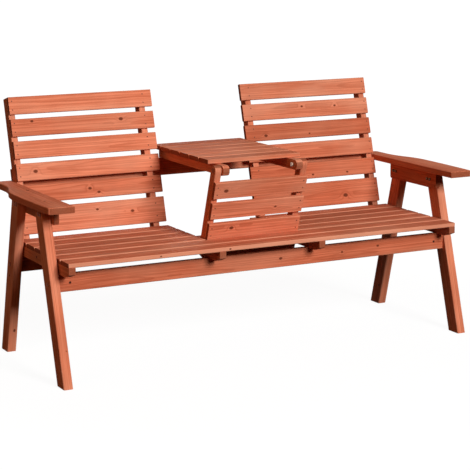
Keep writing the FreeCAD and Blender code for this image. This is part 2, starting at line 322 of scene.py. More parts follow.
# %% [markdown]
# ### Knots
#
# A knot is a branch that the board was cut through. The tree's rings part round it. An image
# of a knot could be pasted on, but the rings would run straight into it, so each knot here
# gives two things: how far it pushes the rings aside, and a mask of its own dark wood. It
# goes right through the board, and it is a little longer along the grain than across it.

# %% Let the rings part round a knot
KNOT_STRETCH = 0.72
KNOT_PUSH = 1.1
KNOT_REACH = 5.5
KNOT_RIM = (1.25, 0.8)


def knots_in(make):
    """How far the knots push the rings aside, and a mask that is 1 inside the knots."""
    push = core = None
    spots = [(make.width, knot) for knot in make.board.knots]
    spots += [(make.depth, knot) for knot in make.board.edge_knots]
    for sideways, (along, beside, radius) in spots:
        off_length = (make.length - along) * KNOT_STRETCH
        off_side = sideways - beside
        away = (off_length * off_length + off_side * off_side) ** 0.5
        fading = make.math("EXPONENT", -(away * away) / (KNOT_REACH * radius * radius))
        swell = fading * radius * KNOT_PUSH
        inside = make.step(away, *(radius * rim for rim in KNOT_RIM))
        push = swell if push is None else push + swell
        core = inside if core is None else make.math("MAXIMUM", core, inside)
    return push, core


print("knots reach", KNOT_RIM[0], "radii")

# %% [markdown]
# ### Rings
#
# Each board gets its own heart, one to five centimetres over or under it and a little to
# one side, its own spacing of the rings and a small tilt, as no board is sawn quite along
# its log. Two noises make the rings wander, a slow one and a quicker one. Within a year the
# wood darkens slowly, and then the next year starts with a sharp edge.

# %% Work out the rings
DRIFT = (1.7, 6, 2.0)
WAVER = (9, 30, 2.0)
HEART_ASIDE = 0.5
HEART_BEYOND = (0.012, 0.05)
DRIFT_WIDE = 0.03
DRIFT_ALONG = 0.012
WAVER_DEEP = 0.003
RING_TILT = 0.012
RING_SPACING = (0.0028, 0.0046)
LATE_STARTS, LATE_FULL, LATE_ENDS = 0.50, 0.93, 0.95


def late_wood(make, push):
    """A mask of the dark late wood in every yearly ring."""
    board, chance = make.board, make.board.chance
    drift = make.grain(*DRIFT) - 0.5
    waver = make.grain(*WAVER) - 0.5
    heart_wide = chance.uniform(-HEART_ASIDE, HEART_ASIDE) * board.half[1]
    heart_deep = board.half[2] + chance.uniform(*HEART_BEYOND)
    from_heart_wide = make.width - heart_wide + drift * DRIFT_WIDE
    from_heart_deep = make.depth + heart_deep * chance.choice((-1, 1)) + waver * WAVER_DEEP
    ring = (from_heart_wide * from_heart_wide + from_heart_deep * from_heart_deep) ** 0.5
    ring = ring + make.length * chance.uniform(-RING_TILT, RING_TILT) + drift * DRIFT_ALONG
    if push is not None:
        ring = ring + push
    season = make.math("FRACT", ring / chance.uniform(*RING_SPACING))
    darkening = make.step(season, LATE_STARTS, LATE_FULL)
    return darkening * (1 - make.step(season, LATE_ENDS, 1.0))


print("rings", RING_SPACING[0], "to", RING_SPACING[1], "m apart")

# %% [markdown]
# ### Stain, wear and painted light
#
# An outdoor stain doesn't cover wood as paint does. It soaks in deeper where the wood is
# open, so early wood, late wood, streaks and worn patches each take it differently, and one
# board comes out darker than its neighbour. A single tinted colour would look like plastic.
# The arrises, which are the long edges, are rubbed paler by hands and clothes. A seat slat's
# planed edges catch the light, so a paler band painted along them stands for that highlight.

# %% Lay the stain on, with a painted highlight and shade
PALE = shade(0.80, 0.255, 0.138)
DARK = shade(0.50, 0.118, 0.052)
# Paler wood for rubbed arrises and worn patches, and for the painted highlight on seat slat
# edges.
PALE_WEAR_AND_HIGHLIGHT = shade(0.80, 0.38, 0.24)
# Multiplied over a darkened board; on the arm supports it is painted shade.
DARKENING_TINT = shade(0.76, 0.60, 0.53)
LATE_SHARE = 0.55
STREAK_LEVELS, STREAK_SHARE = (0.60, 0.42), 0.5
PATCH_LEVELS, PATCH_SHARE = (0.40, 0.68), 0.35
FIBRE_TONE, CLOUD_TONE = 0.40, 0.42
BOARD_TONE = (0.92, 1.06)


def stained(make, late, fibre, streak, patch, cloud):
    """The colour of the stained wood: rings, streaks, patches and the board's own tone."""
    colour = make.mix(late * LATE_SHARE, PALE, DARK)
    colour = make.mix(make.step(streak, *STREAK_LEVELS) * STREAK_SHARE, colour, DARK)
    colour = make.mix(make.step(patch, *PATCH_LEVELS) * PATCH_SHARE, colour, PALE_WEAR_AND_HIGHLIGHT)
    tone = (fibre - 0.5) * FIBRE_TONE + (cloud - 0.5) * CLOUD_TONE
    tone = tone + make.board.chance.uniform(*BOARD_TONE)
    return make.mix(1.0, colour, make.grey(tone), "MULTIPLY")


ARRIS_REACH = 0.005
ARRIS_LEVELS = (0.000004, 0.000018)
RUBBED_WHERE, RUBBED_SHARE = (0.42, 0.62), 0.5
# Where the painted highlight band along a seat slat's edges starts and ends, in from the edge.
HIGHLIGHT_BAND_EDGES = (0.0024, 0.0010)


def wear_stain_and_painted_light(make, colour, cloud):
    """The same colour with rubbed arrises, the board's darkening (painted shade on the arm
    supports) and a painted highlight on a seat slat's edges.
    """
    board = make.board
    near_side, near_face = (
        make.math("MAXIMUM", abs(off) - half + ARRIS_REACH, 0.0)
        for off, half in ((make.width, board.half[1]), (make.depth, board.half[2])))
    arris = make.step(near_side * near_face, *ARRIS_LEVELS)
    colour = make.mix(arris * make.step(cloud, *RUBBED_WHERE) * RUBBED_SHARE, colour, PALE_WEAR_AND_HIGHLIGHT)
    # Darken the board; on the arm supports this is painted shade under the armrests.
    if board.stain:
        colour = make.mix(board.stain, colour, DARKENING_TINT, "MULTIPLY")
    # Painted highlight: a paler band along a seat slat's long edges, where they catch the
    # light.
    if board.painted_edge_highlight:
        highlight_band = make.step(abs(make.width), *(board.half[1] - edge for edge in HIGHLIGHT_BAND_EDGES))
        colour = make.mix(highlight_band * board.painted_edge_highlight, colour, PALE_WEAR_AND_HIGHLIGHT)
    return colour


print("stain from", PALE[:3], "to", DARK[:3])

# %% [markdown]
# ### The whole board
#
# End grain drinks the most stain, so every face that looks along the board turns dark. The
# knots come last, over everything. Fibres and rings stand a fraction of a millimetre proud,
# which a bump shows well enough at this size, and the surface is dry with hardly a shine.

# %% Put the wood together
KNOT = shade(0.14, 0.032, 0.014)
SOAKED = shade(0.20, 0.045, 0.018)
FIBRE = (14, 420, 4.0)
STREAK = (1.8, 190, 3.0)
PATCH = (3.0, 12, 2.0)
CLOUD_SCALE, CLOUD_DETAIL = 7.0, 3.0
END_FACES, END_SHARE = (0.75, 0.9), 0.7
KNOT_SHARE = 0.9
WOOD_ROUGH, FIBRE_ROUGH, LATE_ROUGH = 0.70, 0.25, -0.06
FIBRE_HEIGHT, LATE_HEIGHT, STREAK_HEIGHT = 0.6, 0.5, 0.3
WOOD_RELIEF = 0.0004
WOOD_SHINE = 0.02


def wood(board):
    """One board's own material."""
    make = BoardShader(board)
    push, core = knots_in(make)
    late = late_wood(make, push)
    fibre, streak, patch = (make.grain(*scales) for scales in (FIBRE, STREAK, PATCH))
    cloud = make.noise(make.local, CLOUD_SCALE, CLOUD_DETAIL)
    colour = wear_stain_and_painted_light(make, stained(make, late, fibre, streak, patch, cloud), cloud)

    normal = make.node("ShaderNodeTexCoord", out="Normal")
    cut = make.step(abs(make.dot(normal, board.along)), *END_FACES)
    colour = make.mix(cut * END_SHARE, colour, SOAKED)
    if core is not None:
        colour = make.mix(core * KNOT_SHARE, colour, KNOT)

    rough = (fibre - 0.5) * FIBRE_ROUGH + late * LATE_ROUGH + WOOD_ROUGH
    height = fibre * FIBRE_HEIGHT + late * LATE_HEIGHT + streak * STREAK_HEIGHT
    return make.surface(height, WOOD_RELIEF, Base_Color=colour, Roughness=rough,
                        Specular_IOR_Level=WOOD_SHINE)


print("wood ready")

# %% [markdown]
# ## Every board and its grain
#
# The boards come in families. Each family has one direction for its length and one for its
# width, and the sizes tell the shader where the edges are. They could be listed one by one,
# but a node's name already says its family, so the start of the name is enough. Where two
# families fit, the later one holds, as for the two long slats of the seat and the taller
# slats at the foot of the back.

# %% Sort the boards into families
X, Y, Z = Vector((1, 0, 0)), Vector((0, 1, 0)), Vector((0, 0, 1))


def leaning(angle):
    """Up along a board that leans by this angle."""
    return Vector((0, sin(angle), cos(angle)))


def facing(angle):
    """Straight out of the front face of a board that leans by this angle."""
    return Vector((0, -cos(angle), sin(angle)))


SLAT_THICK = 0.015
STOCK_THICK = 0.024
LEG_THICK = 0.033
FAMILIES = (
    ("seat_slat", X, Y, (0.577, 0.071, SLAT_THICK)),
    ("seat_slat_1", X, Y, (1.524, 0.071, SLAT_THICK)),
    ("seat_slat_2", X, Y, (1.524, 0.071, SLAT_THICK)),
    ("table_slat", X, Y, (0.366, 0.071, SLAT_THICK)),
    ("panel_slat", X, leaning(panel_lean), (0.364, 0.0625, SLAT_THICK)),
    ("back_slat", X, leaning(back_lean), (0.552, 0.0625, SLAT_THICK)),
    ("back_slat_6", X, leaning(back_lean), (0.552, 0.093, SLAT_THICK)),
    ("back_rail", X, leaning(back_lean), (1.476, 0.065, SLAT_THICK)),
    ("front_apron", X, Z, (1.534, 0.060, STOCK_THICK)),
    ("rear_apron", X, Z, (1.534, 0.060, STOCK_THICK)),
    ("front_leg", leaning(front_rake), facing(front_rake), (0.6, LEG_WIDTH, LEG_THICK)),
    ("rear_leg", leaning(rear_rake), facing(rear_rake), (0.6, LEG_WIDTH, LEG_THICK)),
    ("armrest", Y, X, (0.604, 0.103, 0.023)),
    ("arm_support", Y, Z, (0.31, 0.057, 0.018)),
    ("end_bearer", Y, Z, (0.525, 0.0365, STOCK_THICK)),
    ("middle_bearer", Y, Z, (0.525, 0.0365, STOCK_THICK)),
    ("outer_post", leaning(back_lean), facing(back_lean), (0.56, 0.0385, STOCK_THICK)),
    ("inner_post", leaning(back_lean), facing(back_lean), (0.56, 0.0385, STOCK_THICK)),
    ("table_batten", Y, Z, (0.528, 0.036, STOCK_THICK)),
    ("panel_upright", leaning(panel_lean), facing(panel_lean), (0.35, 0.036, STOCK_THICK)),
)

boards = {}
for node in sorted(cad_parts):
    for family, along, wide, sizes in FAMILIES:
        if node.startswith(family):
            boards[node] = Board(node, along, wide, sizes)
print("boards", len(boards), "others", sorted(set(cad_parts) - set(boards)))

# %% [markdown]
# ## Where the knots are
#
# The photograph shows over two dozen small dark knots. Chance could scatter them, but they
# are what makes each board easy to tell from the next, so they are set one by one. Each is
# given in metres along its board and across the wide face from the middle, with its radius.
# Four lie on a board's narrow face, and are given along it and across its thickness.

# %% List the knots
SEEN_KNOTS = {
    "back_slat_2_left": ((-0.198, 0.020, 0.0042), (0.1446, 0.0084, 0.0058)),
    "back_slat_2_right": ((-0.0192, 0.0111, 0.0036), (0.1275, 0.0067, 0.0036)),
    "back_slat_3_right": ((-0.191, -0.013, 0.0052), (0.0, -0.016, 0.0028)),
    "back_slat_4_left": ((-0.2065, 0.0, 0.0058),),
    "back_slat_5_left": ((-0.0086, 0.0033, 0.0048), (0.0243, -0.0125, 0.0044)),
    "back_slat_5_right": ((-0.008, -0.017, 0.0036), (0.1457, -0.0177, 0.0036)),
    "back_slat_6_left": ((0.010, 0.020, 0.0040), (0.146, 0.0035, 0.0046),
                         (-0.1524, 0.0018, 0.0034)),
    "back_slat_6_right": ((0.125, -0.013, 0.0070),),
    "front_apron": ((0.0743, 0.0014, 0.0046), (0.4802, 0.008, 0.0040),
                    (0.3279, -0.0005, 0.0034)),
    "panel_slat_1": ((-0.1368, -0.0003, 0.0062),),
    "panel_slat_2": ((0.0711, 0.0002, 0.0034),),
    "panel_slat_3": ((-0.0926, 0.0102, 0.0058),),
    "armrest_left": ((0.068, 0.024, 0.0050), (-0.166, -0.0035, 0.0036)),
}
EDGE_KNOTS = {
    "seat_slat_1": ((-0.4305, 0.0, 0.0026), (-0.169, 0.0, 0.0030)),
    "front_leg_left": ((-0.1860, 0.0083, 0.0016),),
    "rear_leg_left": ((-0.2090, 0.0043, 0.0042),),
}
print("knots seen", sum(map(len, SEEN_KNOTS.values())) + sum(map(len, EDGE_KNOTS.values())))

# %% [markdown]
# ## Dress every board
#
# Some kinds of board are clear in the photograph, and they stay so. Every other board with
# no listed knot on its wide face gets a small one there with an even chance. Some boards are
# darkened deeply and some a little more than the rest, as the photograph shows; on the arm
# supports, under the armrests, the darkening is painted shade. One material for all the wood
# would repeat itself, so each board gets its own, on its node.

# %% Give each board its material
CLEAR_BOARDS = ("back_slat_1", "back_slat_4_right", "seat_slat", "table_slat", "armrest_right",
                "front_leg")
# Deeply darkened boards; on the arm supports, under the armrests, this is painted shade.
HEAVILY_DARKENED_BOARDS = ("back_slat_3_right", "back_slat_5_right", "back_slat_6_right", "front_apron",
                "rear_apron", "seat_slat_5_right", "table_slat_6", "arm_support")
RICHLY_STAINED = ("back_slat_4_right", "back_slat_5_left", "back_slat_2_left", "table_slat_1",
                  "seat_slat", "panel_slat", "back_rail", "armrest")
HEAVY_DARKENING, RICH_STAIN = 0.9, 0.4
# How strong the painted highlight along a seat slat's edges is.
SEAT_EDGE_HIGHLIGHT = 0.45
KNOT_CHANCE = 0.5
SMALL_KNOTS = (0.0025, 0.0045)
ENDS_CLEAR, EDGES_CLEAR = 0.8, 0.6

for node, board in boards.items():
    if node.startswith(HEAVILY_DARKENED_BOARDS):
        board.stain = HEAVY_DARKENING
    elif node.startswith(RICHLY_STAINED):
        board.stain = RICH_STAIN
    if node.startswith("seat_slat"):
        board.painted_edge_highlight = SEAT_EDGE_HIGHLIGHT
    board.knots = list(SEEN_KNOTS.get(node, ()))
    board.edge_knots = list(EDGE_KNOTS.get(node, ()))
    may_have_one = not board.knots and not node.startswith(CLEAR_BOARDS)
    if may_have_one and board.chance.random() < KNOT_CHANCE:
        along = board.chance.uniform(-ENDS_CLEAR, ENDS_CLEAR) * board.half[0]
        beside = board.chance.uniform(-EDGES_CLEAR, EDGES_CLEAR) * board.half[1]
        board.knots = [(along, beside, board.chance.uniform(*SMALL_KNOTS))]
    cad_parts[node].data.materials.clear()
    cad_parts[node].data.materials.append(wood(board))
print("knots", sum(len(board.knots) + len(board.edge_knots) for board in boards.values()))

# %% [markdown]
# ## Steel
#
# The bolts' heads have been stained over with the wood. The nuts keep their golden zinc, and
# those at the table's upper pivots are a brighter zinc, a painted glint. The wood screws are
# browned, so that they read as small dark dots in the stain. Their recesses and the ends of
# the barrel nuts are nearly black, painted shade for the hollows. One grey metal for all of
# them would be simpler, but the photograph shows none of it. Cloudy patches in the colour and
# in the roughness keep the small parts from looking alike.

# %% The steel materials
CLOUDY_PATCH, FINE_GRAIN = (160.0, 3.0), (1400.0, 2.0)
PATCH_TONE = 0.4
PATCH_ROUGH, FINE_ROUGH = 0.3, 0.1
STEEL_RELIEF = 0.00005


def steel(name, colour, rough, metallic, shine):
    """Steel with cloudy patches in its colour and roughness, and a very fine grain."""
    make = Shader(bpy.data.materials.new(name))
    place = make.node("ShaderNodeTexCoord", out="Object")
    patch = make.noise(place, *CLOUDY_PATCH)
    fine = make.noise(place, *FINE_GRAIN)
    base = make.mix(1.0, colour, make.grey((patch - 0.5) * PATCH_TONE + 1.0), "MULTIPLY")
    rough = (patch - 0.5) * PATCH_ROUGH + (fine - 0.5) * FINE_ROUGH + rough
    return make.surface(fine, STEEL_RELIEF, Base_Color=base, Metallic=metallic,
                        Roughness=rough, Specular_IOR_Level=shine)


stained_over = steel("stained_steel", shade(0.30, 0.085, 0.040), 0.6, 0.1, 0.05)
golden = steel("golden_zinc", shade(0.15, 0.075, 0.035), 0.45, 0.9, 0.4)
# A brighter copy of the zinc for the upper pivot nuts: a painted glint.
bright = steel("painted_glint_zinc", shade(0.50, 0.38, 0.29), 0.4, 0.9, 0.5)
browned = steel("browned_steel", shade(0.22, 0.070, 0.040), 0.6, 0.2, 0.2)
# Nearly black steel for the barrel nuts' ends: painted shade for the holes they sit in.
painted_hole_shade = steel("painted_hole_shade_steel", shade(0.060, 0.016, 0.009), 0.7, 0.0, 0.05)
# Nearly black for the screw recesses and the barrel nuts' slots: painted shade in the hollows.
recess = steel("screw_recess_painted_shade", shade(0.045, 0.018, 0.011), 0.8, 0.0, 0.1)
print("steel ready")

# %% [markdown]
# ## Shapes turned on a line
#
# A bolt's head, its thread and a washer are all turned on the bolt's own line. A ready-made
# cylinder would have sharp rims, so a profile of a few points, each a reach along the line
# and a radius, is spun once round it instead. A hexagon is a six-sided prism whose rims are
# bevelled. Both go straight to their place in the bench, because every piece keeps its
# object at the origin.

# %% Turned shapes and hexagons
PROFILE_STEPS = 24
HEXAGON_BEVEL = 0.05


def turn_profile(shape, profile, base, towards, y, z, steps=PROFILE_STEPS):
    """Spin (reach, radius) pairs about a line along X, which starts at x = base."""
    verts = [shape.verts.new((base + towards * reach, y + radius, z))
             for reach, radius in profile]
    edges = [shape.edges.new(pair) for pair in zip(verts, verts[1:])]
    bmesh.ops.spin(shape, geom=verts + edges, cent=(base, y, z), axis=(1, 0, 0),
                   angle=2 * pi, steps=steps, use_merge=True)


def hexagon(shape, base, towards, y, z, across, height):
    """A nut or a hexagon head, with bevelled rims."""
    place = Matrix.Translation((base + towards * height / 2, y, z)) @ Matrix.Rotation(
        pi / 2, 4, "Y")
    corner = across / sqrt(3)
    made = bmesh.ops.create_cone(shape, cap_ends=True, segments=6, radius1=corner,
                                 radius2=corner, depth=height, matrix=place)["verts"]
    rims = dict.fromkeys(edge for vert in made for edge in vert.link_edges
                         if abs(edge.verts[0].co.x - edge.verts[1].co.x) < height / 10)
    bmesh.ops.bevel(shape, geom=list(rims), offset=across * HEXAGON_BEVEL, segments=2,
                    profile=0.5, affect="EDGES", material=-1)


print("profiles turn in", PROFILE_STEPS, "steps")

# %% [markdown]
# ## From a shape to a piece
#
# Spinning leaves doubled points on the line and may leave faces inside out, so the doubles
# are merged first and the normals recalculated after. The mesh tools hand their results back
# in another order in each run, so corners and faces are sorted by where they are. A sharp
# angle keeps the rims crisp and the domes smooth. The piece rides on a body and may stand
# for a plain node.

# %% Make pieces
DOUBLES = 0.000002
SHARP_ANGLE = radians(32)
PLACE_DIGITS = 6


def settle(parts, place):
    """Put corners or faces in an order that hangs only on where they are."""
    ranks = {part: rank for rank, part in enumerate(sorted(parts, key=place))}
    parts.sort(key=ranks.get)
    parts.index_update()


def new_piece(name, shape, body, materials, replaced=()):
    """Close a bmesh, make it a piece and let it ride on a body."""
    bmesh.ops.remove_doubles(shape, verts=shape.verts, dist=DOUBLES)
    bmesh.ops.recalc_face_normals(shape, faces=shape.faces)
    settle(shape.verts, lambda vert: [round(value, PLACE_DIGITS) for value in vert.co])
    settle(shape.faces, lambda face: sorted(vert.index for vert in face.verts))
    mesh = bpy.data.meshes.new(name)
    shape.to_mesh(mesh)
    shape.free()
    for material in materials:
        mesh.materials.append(material)
    mesh.shade_smooth()
    mesh.set_sharp_from_angle(angle=SHARP_ANGLE)
    piece = bpy.data.objects.new(name, mesh)
    bpy.context.scene.collection.objects.link(piece)
    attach(piece, body)
    if replaced:
        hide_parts(*replaced)
    print(name, len(mesh.polygons), "faces on", body)
    return piece


print("doubles closer than", DOUBLES, "m are merged")

# %% [markdown]
# ## Bolts, nuts and washers
#
# The frame holds every fastener as a plain solid in a shared node. The places could be typed
# in again, but each solid gives its own line and its two ends, so a domed head, a bevelled
# nut, the tip of the thread or a washer goes exactly where the plain one is. The triangles
# of a node are loose, so a merged copy of them is followed from point to point. The points
# wait in a dict, because a set has another order in each run and the meshes would too.

# %% Find the fasteners in the frame
SAME_POINT = 0.000001
END_REACH = 0.0003


def solids(node):
    """The separate solids of a CAD node, each as its corners."""
    shape = bmesh.new()
    shape.from_mesh(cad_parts[node].data)
    bmesh.ops.remove_doubles(shape, verts=shape.verts, dist=SAME_POINT)
    waiting = dict.fromkeys(shape.verts)
    found = []
    while waiting:
        group = [waiting.popitem()[0]]
        for vert in group:
            for edge in vert.link_edges:
                other = edge.other_vert(vert)
                if other in waiting:
                    del waiting[other]
                    group.append(other)
        found.append([vert.co.copy() for vert in group])
    shape.free()
    return sorted(found, key=lambda corners: tuple(corners[0].lerp(corners[-1], 0.5)))


class Fastener:
    """A plain fastener: its line along X, its ends and how wide it is at each."""

    def __init__(self, corners):
        self.corners = corners
        low, high = (pick(corner.x for corner in corners) for pick in (min, max))
        self.outer, self.inner = (high, low) if low + high > 0 else (low, high)
        self.outward = 1 if low + high > 0 else -1
        self.y, self.z = ((min(values) + max(values)) / 2 for values in (
            [corner.y for corner in corners], [corner.z for corner in corners]))
        self.length = high - low

    def radius_at(self, x):
        return max(((corner.y - self.y) ** 2 + (corner.z - self.z) ** 2) ** 0.5
                   for corner in self.corners if abs(corner.x - x) < END_REACH)


print("arm bolts", len(solids("arm_bolts")), "pivots", len(solids("lower_pivot_bolts")))

# %% [markdown]
# ### Heads, threads and rings
#
# A coach bolt's head is a low dome, a quarter of an ellipse over a short upright rim. Past
# its nut a few ridges of thread stick out. A real thread is a helix, but at this size plain
# rings look the same and close by themselves.

# %% Draw the parts of a bolt
HEAD_RIM = 0.2
DOME_STEPS = 6
THREAD_TIP = 0.0015
THREAD_PITCH = 0.0010
THREAD_FOOT = 0.0005
THREAD_VALLEY, THREAD_END = 0.86, 0.8
RING_SOFTNESS = 0.2


def dome(shape, base, towards, y, z, radius, height):
    """A low head: a short upright rim, then a quarter of an ellipse."""
    angles = [pi / 2 * part / DOME_STEPS for part in range(DOME_STEPS + 1)]
    bulge = [(height * (HEAD_RIM + (1 - HEAD_RIM) * sin(angle)), radius * cos(angle))
             for angle in angles]
    turn_profile(shape, [(0, 0), (0, radius)] + bulge, base, towards, y, z)


def thread(shape, base, towards, y, z, radius):
    """The tip of a thread past its nut, with its ridges as plain rings."""
    profile = [(-THREAD_FOOT, 0), (-THREAD_FOOT, radius)]
    for half_turn in range(int(THREAD_TIP / THREAD_PITCH * 2)):
        reach = half_turn * THREAD_PITCH / 2
        profile.append((reach, radius if half_turn % 2 else radius * THREAD_VALLEY))
    profile += [(THREAD_TIP, radius * THREAD_END), (THREAD_TIP, 0)]
    turn_profile(shape, profile, base, towards, y, z)


def ring(shape, base, towards, y, z, hole, radius, thick):
    """A washer with softened rims."""
    soft = thick * RING_SOFTNESS
    profile = [(0, hole), (0, radius - soft), (soft, radius), (thick - soft, radius),
               (thick, radius - soft), (thick, hole), (0, hole)]
    turn_profile(shape, profile, base, towards, y, z)


print("threads stick out", THREAD_TIP, "m")

# %% [markdown]
# ### Every bolt
#
# The bolts differ in their heads, their nuts and the nuts' finish, so a short table lists
# them by node. The spacing washers at the lower pivots are in the same node as the bolts,
# and are told from them by being short. The shank hides in the wood, and a plain rod is
# enough for it.

# %% Make the bolts
Bolt = namedtuple("Bolt", "head_radius head_height nut_across nut_thick thread finish",
                  defaults=(None, None, None, None))
BOLTS = {
    "arm_bolts": Bolt(0.0075, 0.0035, 0.010, 0.005, 0.003, golden),
    "apron_bolts": Bolt(0.0075, 0.0035),
    "lower_pivot_bolts": Bolt(0.009, 0.0022, 0.013, 0.0065, 0.004, golden),
    # The upper pivot nuts get the brighter zinc, a painted glint.
    "upper_pivot_bolts": Bolt(0.009, 0.0022, 0.013, 0.0065, 0.004, bright),
}
WASHER_LIMIT = 0.004
WASHER_HOLE, WASHER_RADIUS = 0.0041, 0.008
SHANK_RADIUS = 0.0029
SHANK_STEPS = 12


def bolts(node, body):
    """Domed bolts in place of a node's plain ones, with nuts of their own finish."""
    shape = bmesh.new()
    bolt = BOLTS[node]
    for plain in map(Fastener, solids(node)):
        spot = (plain.y, plain.z)
        out = plain.outward
        if plain.length < WASHER_LIMIT:
            ring(shape, plain.inner, out, *spot, WASHER_HOLE, WASHER_RADIUS, plain.length)
            continue
        dome(shape, plain.outer - out * bolt.head_height, out, *spot, bolt.head_radius,
             bolt.head_height)
        if bolt.nut_across:
            dull = set(shape.faces)
            hexagon(shape, plain.inner + out * bolt.nut_thick, -out, *spot, bolt.nut_across,
                    bolt.nut_thick)
            thread(shape, plain.inner, -out, *spot, bolt.thread)
            for face in set(shape.faces) - dull:
                face.material_index = 1
        reach = plain.length - bolt.head_height
        turn_profile(shape, [(0, 0), (0, SHANK_RADIUS), (reach, SHANK_RADIUS), (reach, 0)],
                     plain.inner, out, *spot, steps=SHANK_STEPS)
    finishes = [stained_over] + [bolt.finish] * bool(bolt.nut_across)
    return new_piece(node + "_domed", shape, body, finishes, [node])


bolts("arm_bolts", "bench_frame")
bolts("apron_bolts", "bench_frame")
bolts("lower_pivot_bolts", "bench_frame")
bolts("upper_pivot_bolts", "folding_panel")

# %% [markdown]
# ### Coach screws
#
# The back's posts are held to the bearers by coach screws, with a hexagon head that bears on
# a washer. The plain solid is widest at its head, which tells the two ends apart. The point
# is a short cone, hidden in the bearer.

# %% Make the coach screws
COACH_HEAD = 0.005
COACH_ACROSS, COACH_HEXAGON = 0.010, 0.0038
COACH_WASHER, COACH_WASHER_HOLE, COACH_WASHER_RADIUS = 0.0012, 0.002, 0.0072
COACH_POINT = 0.006


def coach_screws(node, body):
    """Hexagon heads on washers against the posts."""
    shape = bmesh.new()
    for plain in map(Fastener, solids(node)):
        tip, top = sorted((plain.outer, plain.inner), key=plain.radius_at)
        towards = 1 if top > tip else -1
        seat = top - towards * COACH_HEAD
        hexagon(shape, seat + towards * COACH_WASHER, towards, plain.y, plain.z, COACH_ACROSS,
                COACH_HEXAGON)
        ring(shape, seat, towards, plain.y, plain.z, COACH_WASHER_HOLE, COACH_WASHER_RADIUS,
             COACH_WASHER)
        reach = abs(seat - tip)
        turn_profile(shape, [(0, 0), (COACH_POINT, SHANK_RADIUS), (reach, SHANK_RADIUS),
                             (reach, 0)], tip, towards, plain.y, plain.z, steps=SHANK_STEPS)
    return new_piece(node + "_hexed", shape, body, [golden], [node])


coach_screws("back_coach_screws", "bench_frame")

# %% [markdown]
# ## Wood screws
#
# Every slat is screwed to what carries it, and the heads show as small dark dots. A dark dot
# could be painted in the wood's own material, but a head that stands a little proud catches
# the light. One head is made once: a rim drawn in from its foot, a star cut in the flat top,
# and the star's floor let down. It has only fifty faces, because there are over a hundred
# such heads.

# %% Make one screw head
SCREW_RADIUS = 0.0026
SCREW_RISE = 0.0004
SCREW_ROOT = 0.0006
RECESS_DEPTH = 0.8
HEAD_SEGMENTS = 16
HEAD_TAPER, RECESS_WIDTH = 0.9, 0.62


def loop_edges(verts):
    """The edges that meet at these corners, in the same order in each run."""
    return list(dict.fromkeys(edge for vert in verts for edge in vert.link_edges))


def head_mesh(name, radius, points, pull):
    """A flat head, part sunk, with a recess whose outline is a star or a slot."""
    shape = bmesh.new()
    low, high = (Matrix.Translation((0, 0, z)) for z in (-SCREW_ROOT, SCREW_RISE))
    foot = bmesh.ops.create_circle(shape, cap_ends=True, segments=HEAD_SEGMENTS,
                                   radius=radius, matrix=low)["verts"]
    rim = bmesh.ops.create_circle(shape, segments=HEAD_SEGMENTS, radius=radius * HEAD_TAPER,
                                  matrix=high)["verts"]
    star = bmesh.ops.create_circle(shape, segments=points, radius=radius * RECESS_WIDTH,
                                   matrix=high)["verts"]
    for number, vert in enumerate(star):
        vert.co.x *= pull[number % len(pull)]
        vert.co.y *= pull[number % len(pull)]
    foot_edges, rim_edges, star_edges = map(loop_edges, (foot, rim, star))
    bmesh.ops.bridge_loops(shape, edges=foot_edges + rim_edges)
    bmesh.ops.triangle_fill(shape, use_beauty=True, edges=rim_edges + star_edges)
    deeper = bmesh.ops.extrude_edge_only(shape, edges=star_edges)["geom"]
    floor_verts = [part for part in deeper if isinstance(part, bmesh.types.BMVert)]
    walls = [part for part in deeper if isinstance(part, bmesh.types.BMFace)]
    bmesh.ops.translate(shape, verts=floor_verts, vec=(0, 0, -SCREW_RISE * RECESS_DEPTH))
    floor_edges = [edge for edge in loop_edges(floor_verts)
                   if edge.verts[0] in floor_verts and edge.verts[1] in floor_verts]
    bottom = bmesh.ops.contextual_create(shape, geom=floor_edges)["faces"]
    # The recess's walls and floor take the second material, nearly black: painted shade.
    for face in walls + bottom:
        face.material_index = 1
    mesh = bpy.data.meshes.new(name)
    shape.to_mesh(mesh)
    shape.free()
    return mesh


CROSS_POINTS, CROSS_PULL = 8, (1.0, 0.42)
screw_head = head_mesh("screw_head", SCREW_RADIUS, CROSS_POINTS, CROSS_PULL)
print("screw head", len(screw_head.polygons), "faces")

# %% [markdown]
# ### Place the screws
#
# On the back, the rail and the panel there are two screws at each crossing. A copy of the
# head is turned to face out at each place, and spun by a chance angle, as no one lines up
# screws. The chance is seeded with the piece's name, so each run gives the same angles.


# %% Screws on the leaning faces
def add_head(shape, mesh, place, out, spin):
    """Add a copy of a head at a place, facing out, turned by an angle."""
    start = len(shape.verts)
    shape.from_mesh(mesh)
    shape.verts.ensure_lookup_table()
    turn = out.to_track_quat("Z", "Y").to_matrix().to_4x4() @ Matrix.Rotation(spin, 4, "Z")
    bmesh.ops.transform(shape, matrix=Matrix.Translation(place) @ turn,
                        verts=shape.verts[start:])


def screws(name, body, places, out, mesh=screw_head, finish=browned):
    """One piece with a head at every place."""
    shape = bmesh.new()
    chance = random.Random(name)
    for place in places:
        add_head(shape, mesh, place, out, chance.uniform(0, pi))
    return new_piece(name, shape, body, [finish, recess])


def crossings(slats, carriers, lean, spread, side=1):
    """Two places at each crossing, on the slat's front face, or its rear with side -1."""
    for slat in slats:
        for carrier in carriers:
            spot = boards[slat].middle + facing(lean) * SLAT_THICK / 2 * side
            spot.x = middle(carrier).x
            for part in (-spread, spread):
                yield spot + leaning(lean) * boards[slat].half[1] * part


